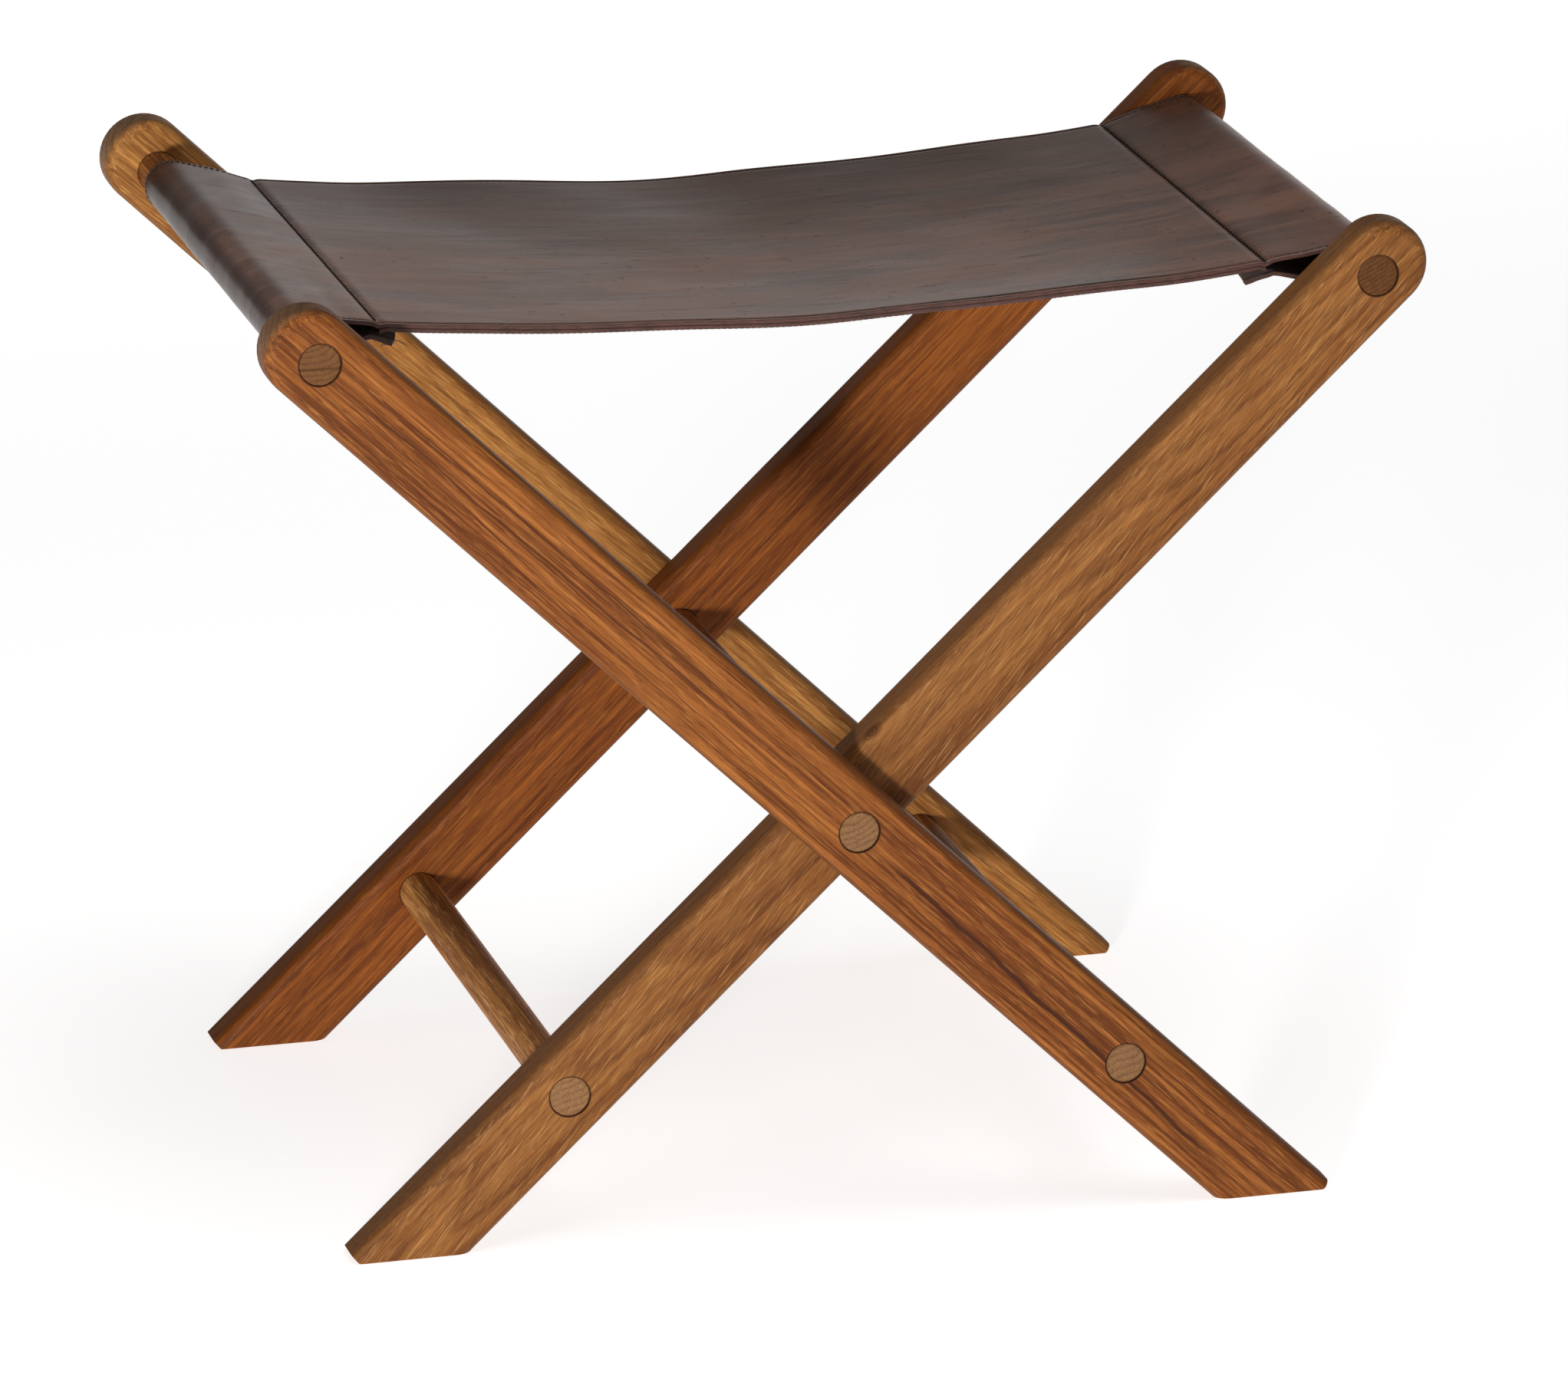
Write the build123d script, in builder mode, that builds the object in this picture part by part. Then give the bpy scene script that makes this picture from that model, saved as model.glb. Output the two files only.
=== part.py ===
import math
import os

from build123d import *

# Folding camp stool: two X frames of flat legs and round dowels, with a leather sling seat.
# Millimetres. +Z up, X is the seat's span, Y is the depth. The origin is on the floor under the
# pivot, half way between the near and far legs.

# ---- driving dimensions: frame
leg_width = 43.0
leg_thick = 23.0
leg_edge_radius = 6.0
leg_angle = 43.75
pivot_height = 205.5
rail_reach = 361.0
stretcher_reach = 187.5
end_reach = 27.5
inner_span = 277.0
side_gap = 0.5
foot_tip = 5.0
foot_edge_radius = 1.0

# ---- driving dimensions: dowels
dowel_radius = 10.0
glued_bore = 10.02
pivot_bore = 10.06
end_recess = 0.6
end_chamfer = 0.6

# ---- driving dimensions: seat
leather_width = 276.0
top_ply = 2.1
lining_ply = 2.0
sleeve_gap = 0.3
seam_x = 220.0
flap_past_seam = 10.0
body_gap = 0.15
panel_profile = ((0.0, 445.3), (75.0, 448.2), (150.0, 451.7), (seam_x, 457.4))
seam_thread = 0.9
edge_thread = 0.7
thread_height = 0.5
edge_inset = 2.6

# ---- derived
cos_a = math.cos(math.radians(leg_angle))
sin_a = math.sin(math.radians(leg_angle))
rail_x = rail_reach * cos_a
rail_z = pivot_height + rail_reach * sin_a
inner_leg_y = inner_span / 2 + leg_thick / 2
outer_leg_y = inner_leg_y + leg_thick + side_gap
outer_dowel_length = 2 * (outer_leg_y + leg_thick / 2 - end_recess)
inner_dowel_length = 2 * (inner_leg_y + leg_thick / 2 - end_recess)
sleeve_inner = dowel_radius + sleeve_gap
sleeve_outer = sleeve_inner + top_ply
seam_slope = (panel_profile[-1][1] - panel_profile[-2][1]) / (seam_x - panel_profile[-2][0])


def leg(lean, y_mid, centre_bore):
    """A leg leaning right (lean 1) or left (lean -1), with its three bores."""
    face_plane = Plane(
        origin=(0, y_mid, pivot_height), x_dir=(lean * cos_a, 0, sin_a), z_dir=(0, -lean, 0)
    )
    half = leg_width / 2
    end_centre = rail_reach + end_reach - half
    tip = -(pivot_height + half * cos_a) / sin_a
    heel = -(pivot_height - half * cos_a) / sin_a
    tip_cut = tip + foot_tip * cos_a / sin_a
    with BuildPart() as piece:
        with BuildSketch(face_plane):
            with BuildLine():
                Polyline(
                    (end_centre, half),
                    (tip_cut, half),
                    (tip_cut, half - foot_tip),
                    (heel, -half),
                    (end_centre, -half),
                )
                ThreePointArc((end_centre, -half), (end_centre + half, 0), (end_centre, half))
            make_face()
        extrude(amount=leg_thick / 2, both=True)
        face_edges = piece.edges().filter_by(lambda e: abs(e.center().Y - y_mid) > leg_thick / 2 - 0.01)
        fillet(face_edges.filter_by(lambda e: e.center().Z > 60), radius=leg_edge_radius)
        foot_edges = piece.edges().filter_by(lambda e: e.center().Z < 0.01)
        fillet(foot_edges, radius=foot_edge_radius)
        with BuildSketch(face_plane):
            with Locations((rail_reach, 0), (-stretcher_reach, 0)):
                Circle(glued_bore)
            Circle(centre_bore)
        extrude(amount=leg_thick, both=True, mode=Mode.SUBTRACT)
    return piece


def dowel(x, z, length):
    """A round dowel along Y, with eased ends."""
    with BuildPart() as piece:
        with BuildSketch(Plane.XZ):
            with Locations((x, z)):
                Circle(dowel_radius)
        extrude(amount=length / 2, both=True)
        chamfer(piece.edges().filter_by(GeomType.CIRCLE), length=end_chamfer)
    return piece


def panel_points(side, drop, start):
    """Points of the panel's top surface lowered by drop, from the middle out to the seam."""
    inner = [(side * start, panel_profile[0][1] - drop)]
    return inner + [(side * x, z - drop) for x, z in panel_profile[1:]]


def tangent_point(px, pz, radius, upper):
    """Where the line from (px, pz) touches the rail's circle, for a seam on the circle's inner side."""
    dx = rail_x - px
    dz = rail_z - pz
    away = math.hypot(dx, dz)
    turn = math.acos(radius / away)
    toward = math.atan2(-dz, -dx)
    angle = toward - turn if upper else toward + turn
    return (rail_x + radius * math.cos(angle), rail_z + radius * math.sin(angle))


def mirrored(side, points):
    return [(side * x, z) for x, z in points]


def sleeve_lines(side, seam_start, flap_drop):
    """Edges of a sleeve: round the rail, back under the seat, and forward again inside."""
    seam_top = panel_profile[-1][1]
    under = seam_top - top_ply - lining_ply - flap_drop
    flap_x = seam_x - flap_past_seam
    flap_z = under - seam_slope * flap_past_seam
    out_top = tangent_point(seam_start, seam_top, sleeve_outer, True)
    out_low = tangent_point(seam_x, under - top_ply, sleeve_outer, False)
    in_low = tangent_point(seam_x, under, sleeve_inner, False)
    in_top = tangent_point(seam_start, seam_top - top_ply, sleeve_inner, True)
    Polyline(mirrored(side, [(seam_start, seam_top), out_top]))
    ThreePointArc(*mirrored(side, [out_top, (rail_x + sleeve_outer, rail_z), out_low]))
    Polyline(
        mirrored(
            side,
            [
                out_low,
                (seam_x, under - top_ply),
                (flap_x, flap_z - top_ply),
                (flap_x, flap_z),
                (seam_x, under),
                in_low,
            ],
        )
    )
    ThreePointArc(*mirrored(side, [in_low, (rail_x + sleeve_inner, rail_z), in_top]))
    Polyline(mirrored(side, [in_top, (seam_start, seam_top - top_ply)]))


def panel_strip(side, upper, lower, width, y_mid, start):
    """A strip of the panel between two drops below its top surface, from the middle to the seam."""
    with BuildPart() as piece:
        with BuildSketch(Plane.XZ.offset(-y_mid)):
            with BuildLine():
                top = Polyline(panel_points(side, upper, start))
                low = Polyline(panel_points(side, lower, start))
                Line(top @ 0, low @ 0)
                Line(top @ 1, low @ 1)
            make_face()
        extrude(amount=width / 2, both=True)
    return piece


def edge_row(side, y_mid, start, on_panel, on_sleeve):
    """A row of edge stitching as one thread, along the panel's top, the sleeve's top, or both."""
    seam_top = panel_profile[-1][1]
    sleeve_start = seam_x if on_panel else seam_x + 2 * body_gap
    high_radius = sleeve_outer + thread_height
    low_line = tangent_point(sleeve_start, seam_top, sleeve_outer, True)
    high_line = tangent_point(sleeve_start, seam_top + thread_height, high_radius, True)
    diagonal = math.sqrt(0.5)
    low_mid = (rail_x + sleeve_outer * diagonal, rail_z + sleeve_outer * diagonal)
    high_mid = (rail_x + high_radius * diagonal, rail_z + high_radius * diagonal)
    low_end = (rail_x + sleeve_outer, rail_z)
    high_end = (rail_x + high_radius, rail_z)
    section_plane = Plane.XZ.offset(-y_mid)
    with BuildPart() as row:
        if on_panel:
            with BuildSketch(section_plane):
                with BuildLine():
                    high = Polyline(panel_points(side, -thread_height, start))
                    low = Polyline(panel_points(side, 0, start))
                    Line(high @ 0, low @ 0)
                    Line(high @ 1, low @ 1)
                make_face()
            extrude(amount=edge_thread / 2, both=True)
        if on_sleeve:
            with BuildSketch(section_plane):
                with BuildLine():
                    Polyline(mirrored(side, [(sleeve_start, seam_top), low_line]))
                    ThreePointArc(*mirrored(side, [low_line, low_mid, low_end]))
                    Polyline(mirrored(side, [low_end, high_end]))
                    ThreePointArc(*mirrored(side, [high_end, high_mid, high_line]))
                    Polyline(
                        mirrored(
                            side,
                            [
                                high_line,
                                (sleeve_start, seam_top + thread_height),
                                (sleeve_start, seam_top),
                            ],
                        )
                    )
                make_face()
            extrude(amount=edge_thread / 2, both=True)
    return row


def cross_seam(side, start):
    """The thread across the end of the seat, lying on the flat of the sleeve beside the seam."""
    seam_top = panel_profile[-1][1]
    touch_x, touch_z = tangent_point(start, seam_top, sleeve_outer, True)
    rise = (touch_z - seam_top) / (touch_x - start)
    near_x = start + 0.4
    far_x = near_x + seam_thread
    near_z = seam_top + rise * (near_x - start)
    far_z = seam_top + rise * (far_x - start)
    with BuildPart() as row:
        with BuildSketch(Plane.XZ):
            with BuildLine():
                Polyline(
                    mirrored(
                        side,
                        [
                            (near_x, near_z),
                            (far_x, far_z),
                            (far_x, far_z + thread_height),
                            (near_x, near_z + thread_height),
                            (near_x, near_z),
                        ],
                    )
                )
            make_face()
        extrude(amount=leather_width / 2 - edge_inset - 1, both=True)
    return row


# ---- outer frame: legs lean left, outside the inner legs
outer_leg_near = leg(-1, -outer_leg_y, glued_bore)
outer_leg_far = leg(-1, outer_leg_y, glued_bore)
outer_seat_rail = dowel(-rail_x, rail_z, outer_dowel_length)
outer_stretcher = dowel(
    stretcher_reach * cos_a, pivot_height - stretcher_reach * sin_a, outer_dowel_length
)
pivot_dowel = dowel(0, pivot_height, outer_dowel_length)

# ---- inner frame: legs lean right and turn on the pivot dowel
inner_leg_near = leg(1, -inner_leg_y, pivot_bore)
inner_leg_far = leg(1, inner_leg_y, pivot_bore)
inner_seat_rail = dowel(rail_x, rail_z, inner_dowel_length)
inner_stretcher = dowel(
    -stretcher_reach * cos_a, pivot_height - stretcher_reach * sin_a, inner_dowel_length
)

# ---- seat, outer half: top ply, sleeve and return flap in one
with BuildPart() as seat_leather_outer_half:
    with BuildSketch(Plane.XZ):
        with BuildLine():
            outer_top = Polyline(panel_points(-1, 0, body_gap))
            outer_low = Polyline(panel_points(-1, top_ply, body_gap))
            Line(outer_top @ 0, outer_low @ 0)
            sleeve_lines(-1, seam_x, 0)
        make_face()
    extrude(amount=leather_width / 2, both=True)

with BuildPart() as seat_lining_outer_half:
    with BuildSketch(Plane.XZ):
        with BuildLine():
            lining_top = Polyline(panel_points(-1, top_ply, body_gap))
            lining_low = Polyline(panel_points(-1, top_ply + lining_ply, body_gap))
            Line(lining_top @ 0, lining_low @ 0)
            Line(lining_top @ 1, lining_low @ 1)
        make_face()
    extrude(amount=leather_width / 2, both=True)

# ---- seat, inner half: the panel only, its sleeve is a separate piece on the inner rail
seat_leather_inner_half = panel_strip(1, 0, top_ply, leather_width, 0, body_gap)
seat_lining_inner_half = panel_strip(1, top_ply, top_ply + lining_ply, leather_width, 0, body_gap)

with BuildPart() as inner_sleeve_leather:
    with BuildSketch(Plane.XZ):
        with BuildLine():
            sleeve_lines(1, seam_x + 2 * body_gap, 2 * body_gap)
            seam_face_top = (seam_x + 2 * body_gap, panel_profile[-1][1])
            seam_face_low = (seam_x + 2 * body_gap, panel_profile[-1][1] - top_ply)
            Line(seam_face_top, seam_face_low)
        make_face()
    extrude(amount=leather_width / 2, both=True)

# ---- thread
edge_y = leather_width / 2 - edge_inset
outer_cross_seam = cross_seam(-1, seam_x)
inner_cross_seam = cross_seam(1, seam_x + 2 * body_gap)
edge_stitches_near_outer_half = edge_row(-1, -edge_y, body_gap, True, True)
edge_stitches_far_outer_half = edge_row(-1, edge_y, body_gap, True, True)
edge_stitches_near_inner_half = edge_row(1, -edge_y, body_gap, True, False)
edge_stitches_far_inner_half = edge_row(1, edge_y, body_gap, True, False)
sleeve_stitches_near = edge_row(1, -edge_y, body_gap, False, True)
sleeve_stitches_far = edge_row(1, edge_y, body_gap, False, True)

pieces = {
    "outer_leg_near": outer_leg_near,
    "outer_leg_far": outer_leg_far,
    "outer_seat_rail": outer_seat_rail,
    "outer_stretcher": outer_stretcher,
    "pivot_dowel": pivot_dowel,
    "inner_leg_near": inner_leg_near,
    "inner_leg_far": inner_leg_far,
    "inner_seat_rail": inner_seat_rail,
    "inner_stretcher": inner_stretcher,
    "seat_leather_outer_half": seat_leather_outer_half,
    "seat_lining_outer_half": seat_lining_outer_half,
    "seat_leather_inner_half": seat_leather_inner_half,
    "seat_lining_inner_half": seat_lining_inner_half,
    "inner_sleeve_leather": inner_sleeve_leather,
    "outer_cross_seam": outer_cross_seam,
    "inner_cross_seam": inner_cross_seam,
    "edge_stitches_near_outer_half": edge_stitches_near_outer_half,
    "edge_stitches_far_outer_half": edge_stitches_far_outer_half,
    "edge_stitches_near_inner_half": edge_stitches_near_inner_half,
    "edge_stitches_far_inner_half": edge_stitches_far_inner_half,
    "inner_sleeve_stitches_near": sleeve_stitches_near,
    "inner_sleeve_stitches_far": sleeve_stitches_far,
}

os.makedirs("parts", exist_ok=True)
for name, piece in pieces.items():
    piece.part.label = name
    export_step(piece.part, f"parts/{name}.step")
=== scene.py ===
import math

import bmesh
import bpy
import numpy as np
from mathutils import Euler, Matrix, Vector, noise

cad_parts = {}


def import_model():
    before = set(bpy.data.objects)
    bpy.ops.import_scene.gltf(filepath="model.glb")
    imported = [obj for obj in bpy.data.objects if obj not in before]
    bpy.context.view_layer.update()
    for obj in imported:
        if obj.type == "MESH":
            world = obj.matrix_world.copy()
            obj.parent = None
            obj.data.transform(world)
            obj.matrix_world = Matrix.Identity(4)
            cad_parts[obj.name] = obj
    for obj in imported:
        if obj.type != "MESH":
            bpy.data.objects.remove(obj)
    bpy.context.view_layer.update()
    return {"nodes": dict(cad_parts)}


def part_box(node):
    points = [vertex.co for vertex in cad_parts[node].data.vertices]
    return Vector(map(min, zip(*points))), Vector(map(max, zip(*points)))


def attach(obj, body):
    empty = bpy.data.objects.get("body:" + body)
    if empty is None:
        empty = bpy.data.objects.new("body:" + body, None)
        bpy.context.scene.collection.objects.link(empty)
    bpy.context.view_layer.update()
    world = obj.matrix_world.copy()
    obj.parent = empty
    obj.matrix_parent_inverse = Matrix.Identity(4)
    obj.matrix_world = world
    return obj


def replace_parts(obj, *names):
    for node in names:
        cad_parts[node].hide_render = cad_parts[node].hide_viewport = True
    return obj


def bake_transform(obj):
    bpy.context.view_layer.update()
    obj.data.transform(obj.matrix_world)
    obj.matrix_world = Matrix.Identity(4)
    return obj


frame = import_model()
nodes = frame["nodes"]

# ------------------------------------------------------------------ dimensions, in metres
LEG_ANGLE = math.radians(43.75)
PIVOT_Z = 0.2055
RAIL_REACH = 0.361
STRETCHER_REACH = 0.1875
RAIL_X = RAIL_REACH * math.cos(LEG_ANGLE)
RAIL_Z = PIVOT_Z + RAIL_REACH * math.sin(LEG_ANGLE)
SEAM_X = 0.220
SEAM_Z = 0.4574
PLY = 0.0021
LINING = 0.0020
SLEEVE_R = 0.0103 + PLY / 2
HALF_WIDTH = 0.1378
HEM_IN = 0.0027
HEM_PITCH = 0.0029
CROSS_PITCH = 0.0037
DOWEL_RADIUS = 0.010
SEWN_GAP = 0.0003
FLAP_PAST_SEAM = 0.0105


# ------------------------------------------------------------------ camera
YAW, PITCH, ROLL = math.radians(-16.144), math.radians(18.425), math.radians(0.566)
LOOKS_AT = (0.015489, 0, 0.216081)
CAMERA_DISTANCE = 4.579743
LENS_MM = 213.61879


def aim_camera():
    """The camera looks at LOOKS_AT from CAMERA_DISTANCE away, turned by YAW, PITCH and ROLL."""
    cam_data = bpy.data.cameras.new("camera")
    cam = bpy.data.objects.new("camera", cam_data)
    bpy.context.scene.collection.objects.link(cam)
    level = math.cos(PITCH)
    forward = Vector((-math.sin(YAW) * level, math.cos(YAW) * level, -math.sin(PITCH)))
    right = Vector((math.cos(YAW), math.sin(YAW), 0))
    up = right.cross(forward)
    right_r = right * math.cos(ROLL) + up * math.sin(ROLL)
    up_r = up * math.cos(ROLL) - right * math.sin(ROLL)
    place = Vector(LOOKS_AT) - forward * CAMERA_DISTANCE
    turn = Matrix((right_r, up_r, -forward)).transposed()
    cam.matrix_world = Matrix.Translation(place) @ turn.to_4x4()
    cam_data.sensor_width = 36
    cam_data.lens = LENS_MM
    cam_data.clip_end = 60
    bpy.context.scene.camera = cam


aim_camera()


# ------------------------------------------------------------------ node helpers
class Graph:
    """Short calls for building a material."""

    def __init__(self, name):
        self.mat = bpy.data.materials.new(name)
        self.mat.use_nodes = True
        self.tree = self.mat.node_tree
        self.tree.nodes.clear()
        self.out = self.tree.nodes.new("ShaderNodeOutputMaterial")
        self.bsdf = self.tree.nodes.new("ShaderNodeBsdfPrincipled")
        self.tree.links.new(self.bsdf.outputs[0], self.out.inputs["Surface"])

    def link(self, a, socket):
        if isinstance(a, bpy.types.NodeSocket):
            self.tree.links.new(a, socket)
        else:
            socket.default_value = a

    def add(self, kind, settings=(), **inputs):
        node = self.tree.nodes.new("ShaderNode" + kind)
        for key, value in dict(settings).items():
            setattr(node, key, value)
        for key, value in inputs.items():
            self.link(value, node.inputs[key.replace("_", " ")])
        return node

    def coords(self, which="Object"):
        return self.add("TexCoord").outputs[which]

    def mapping(self, vector, kind="POINT", rotation=(0, 0, 0), location=(0, 0, 0), scale=(1, 1, 1)):
        node = self.add("Mapping", {"vector_type": kind}, Vector=vector, Rotation=rotation, Scale=scale)
        if kind == "POINT":
            node.inputs["Location"].default_value = location
        return node.outputs[0]

    def noise(self, vector, scale=1.0, detail=2.0, rough=0.5, distortion=0.0, out="Fac"):
        node = self.add("TexNoise", (), Vector=vector, Scale=scale, Detail=detail, Roughness=rough)
        node.inputs["Distortion"].default_value = distortion
        return node.outputs[out]

    def math(self, op, a, b=0.0, c=0.0):
        node = self.add("Math", {"operation": op})
        self.link(a, node.inputs[0])
        self.link(b, node.inputs[1])
        self.link(c, node.inputs[2])
        return node.outputs[0]

    def vec(self, op, a, b=(0, 0, 0), out=0):
        node = self.add("VectorMath", {"operation": op})
        self.link(a, node.inputs[0])
        self.link(b, node.inputs[1])
        return node.outputs[out]

    def fit(self, value, low, high, to_low=0.0, to_high=1.0):
        """A smooth step from to_low at low to to_high at high."""
        node = self.add("MapRange", {"interpolation_type": "SMOOTHSTEP"})
        for k, v in enumerate((value, low, high, to_low, to_high)):
            self.link(v, node.inputs[k])
        return node.outputs[0]

    def mix(self, factor, a, b):
        node = self.add("Mix", {"data_type": "RGBA"})
        self.link(factor, node.inputs[0])
        self.link(a, node.inputs[6])
        self.link(b, node.inputs[7])
        return node.outputs[2]

    def ramp(self, value, stops):
        node = self.add("ValToRGB", (), Fac=value)
        elements = node.color_ramp.elements
        while len(elements) < len(stops):
            elements.new(0.5)
        for element, (place, colour) in zip(elements, stops):
            element.position = place
            element.color = colour
        return node.outputs[0]

    def bump(self, height, distance, strength=1.0, normal=None):
        node = self.add("Bump", (), Height=height, Distance=distance, Strength=strength)
        if normal is not None:
            self.link(normal, node.inputs["Normal"])
        return node.outputs[0]

    def shader(self, **inputs):
        for key, value in inputs.items():
            self.link(value, self.bsdf.inputs[key.replace("_", " ")])
        return self.mat


def rgb(*display):
    """A display colour from 0 to 255 as a linear one."""
    linear = [((c / 255 + 0.055) / 1.055) ** 2.4 if c > 10 else c / 255 / 12.92 for c in display]
    return (*linear, 1)


# ------------------------------------------------------------------ teak
VEIN_FADE = 0.03


def teak(
    name, rotation, centre, seed, tilt=(0.0, 0.0), pith=(0.0, 0.2), ring=0.005, tone=(1, 1, 1),
    streak=0.5, bores=(), end_tone=0, veins=(), knots=(), dash=(40, 760, 0.0, 0.45), stripe=0.5,
):
    """Oiled teak. In the piece's own frame u runs along the grain, v through the thickness and w across
    the width, and the growth rings lie round a pith line at pith = (v, w), tipped by tilt. A dash is
    (scale along, scale across, slant, strength) of the short fibres. A vein is (first u, last u,
    w at first, slope, half width, strength). A knot is a point (u, v, w)."""
    dash_along, dash_across, dash_slant, dash_strength = dash

    def shade(*parts):
        return rgb(*(c * t for c, t in zip(parts, tone)))

    # the rings of a leg wander widely; a dowel shows a few millimetres of them
    sway_by, sway_scale = (0.014, 15) if bores else (0.0032, 85)
    g = Graph(name)
    origin = Euler(rotation).to_matrix() @ Vector(centre)
    local = g.mapping(g.coords(), rotation=rotation, location=tuple(-origin))
    tipped = g.mapping(local, rotation=(0, tilt[0], tilt[1]))
    shifted = g.mapping(local, location=(seed * 0.37, seed * 0.11, 0))
    sway = g.mapping(tipped, location=(seed, 0, 0), scale=(5, sway_scale, sway_scale))
    sway = g.noise(sway, detail=2, out="Color")
    sway = g.vec("MULTIPLY", g.vec("SUBTRACT", sway, (0.5, 0.5, 0.5)), (0, sway_by, sway_by))
    warped = g.vec("ADD", tipped, sway)
    radius = g.vec("SUBTRACT", warped, (0, pith[0], pith[1]))
    radius = g.vec("LENGTH", g.vec("MULTIPLY", radius, (0, 1, 1)), out=1)
    spread = g.noise(g.mapping(tipped, location=(seed, 0, 0), scale=(1.2, 45, 45)), detail=1)
    saw = g.math("FRACT", g.math("ADD", g.math("DIVIDE", radius, ring), g.math("MULTIPLY", spread, 2.4)))
    grey = [(0.0, 0.12), (0.45, 0.28), (0.84, 1.0), (0.93, 0.7), (1.0, 0.12)]
    line = g.ramp(saw, [(p, (v, v, v, 1)) for p, v in grey])
    patch = g.noise(g.mapping(shifted, scale=(2.6, 26, 26)), detail=3, rough=0.6)
    fibre = g.noise(g.mapping(shifted, scale=(14, 620, 620)), detail=5, rough=0.7)
    band = g.noise(g.mapping(shifted, scale=(1.3, 110, 110)), detail=3, rough=0.55, distortion=0.4)
    pore = g.noise(g.mapping(tipped, location=(seed, 0, 0), scale=(120, 1150, 1150)), detail=2, rough=0.6)
    pore = g.fit(pore, 0.58, 0.66)
    base = g.mix(g.fit(patch, 0.3, 0.7), shade(148, 88, 39), shade(178, 116, 60))
    late = g.mix(g.fit(patch, 0.35, 0.75), shade(88, 43, 16), shade(112, 62, 27))
    colour = g.mix(g.math("MULTIPLY", line, g.fit(patch, 0.25, 0.75, 0.8, 0.45)), base, late)
    colour = g.mix(g.math("MULTIPLY", g.fit(band, 0.52, 0.74), streak), colour, shade(84, 40, 16))
    colour = g.mix(g.fit(fibre, 0.38, 0.66, 0.0, 0.55), colour, shade(100, 54, 24))
    colour = g.mix(g.math("MULTIPLY", pore, 0.32), colour, shade(64, 33, 14))
    stripes = g.noise(g.mapping(tipped, location=(seed, 5, 0), scale=(2.6, 300, 300)), detail=5, rough=0.62)
    colour = g.mix(g.fit(stripes, 0.49, 0.60, 0.0, stripe), colour, shade(92, 47, 18))
    colour = g.mix(g.fit(stripes, 0.47, 0.36, 0.0, stripe * 0.6), colour, shade(196, 130, 68))
    slanted = g.mapping(local, location=(seed, 3, 0), rotation=(0, dash_slant, 0))
    speck = g.noise(g.mapping(slanted, scale=(dash_along, dash_across, dash_across)), detail=3, rough=0.55)
    colour = g.mix(g.fit(speck, 0.51, 0.66, 0.0, dash_strength), colour, shade(92, 50, 22))
    colour = g.mix(g.fit(speck, 0.47, 0.34, 0.0, dash_strength * 0.7), colour, shade(198, 140, 82))
    fleck = g.noise(g.mapping(slanted, scale=(62, 1500, 1500)), detail=2, rough=0.5)
    colour = g.mix(g.fit(fleck, 0.58, 0.68, 0.0, 0.42), colour, shade(204, 148, 90))
    # end grain, where the surface faces along the fibres; on the legs the narrow faces are painted a little
    # darker, as painted shade
    face = g.mapping(g.coords("Normal"), kind="NORMAL", rotation=rotation)
    facing = g.add("SeparateXYZ", (), Vector=face).outputs
    end = g.fit(g.math("ABSOLUTE", facing[0]), 0.5, 0.92)
    if bores:
        # painted shade: the narrow faces darker than the broad ones
        side = g.math("MULTIPLY", g.fit(g.math("ABSOLUTE", facing[2]), 0.45, 0.95), 0.6)
        colour = g.mix(side, colour, g.mix(fibre, shade(98, 61, 35), shade(128, 85, 52)))
    dots = g.noise(g.mapping(shifted, scale=(300, 1500, 1500)), detail=3, rough=0.7)
    pale = tuple(c + end_tone for c in (130, 96, 64))
    dark = tuple(max(20, c + end_tone) for c in (84, 55, 34))
    cut = g.mix(g.math("MULTIPLY", line, g.fit(patch, 0.3, 0.7, 0.3, 0.8)), rgb(*pale), rgb(*dark))
    cut = g.mix(g.fit(dots, 0.45, 0.7, 0.0, 0.6), cut, rgb(*(max(12, c - 22) for c in dark)))
    colour = g.mix(g.math("MULTIPLY", end, 0.88), colour, cut)
    # dark veins and knots, through face and end grain
    split = g.add("SeparateXYZ", (), Vector=local).outputs
    for first, last, start, slope, width, strength in veins:
        wobble = g.noise(g.mapping(local, location=(start * 50, 0, 0), scale=(22, 0, 0)), detail=3)
        line_w = g.math("MULTIPLY_ADD", g.math("SUBTRACT", split[0], first), slope, start)
        line_w = g.math("ADD", line_w, g.math("MULTIPLY", g.math("SUBTRACT", wobble, 0.5), 0.006))
        off_line = g.math("ABSOLUTE", g.math("SUBTRACT", split[2], line_w))
        near = g.fit(off_line, width * 0.3, width, 1.0, 0.0)
        start_fade = g.fit(split[0], first, first + VEIN_FADE)
        reach = g.math("MULTIPLY", start_fade, g.fit(split[0], last - VEIN_FADE, last, 1.0, 0.0))
        vein = g.math("MULTIPLY", g.math("MULTIPLY", near, reach), strength)
        colour = g.mix(vein, colour, rgb(62, 30, 14))
    for knot in knots:
        away = g.vec("SUBTRACT", local, knot)
        away = g.vec("LENGTH", g.vec("MULTIPLY", away, (0.55, 1, 1)), out=1)
        rings = g.math("MULTIPLY_ADD", g.math("SINE", g.math("MULTIPLY", away, 5200)), 0.2, 0.6)
        colour = g.mix(g.math("MULTIPLY", g.fit(away, 0.0012, 0.0042, 1.0, 0.0), rings), colour, rgb(58, 30, 16))
    for reach in bores:
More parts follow.
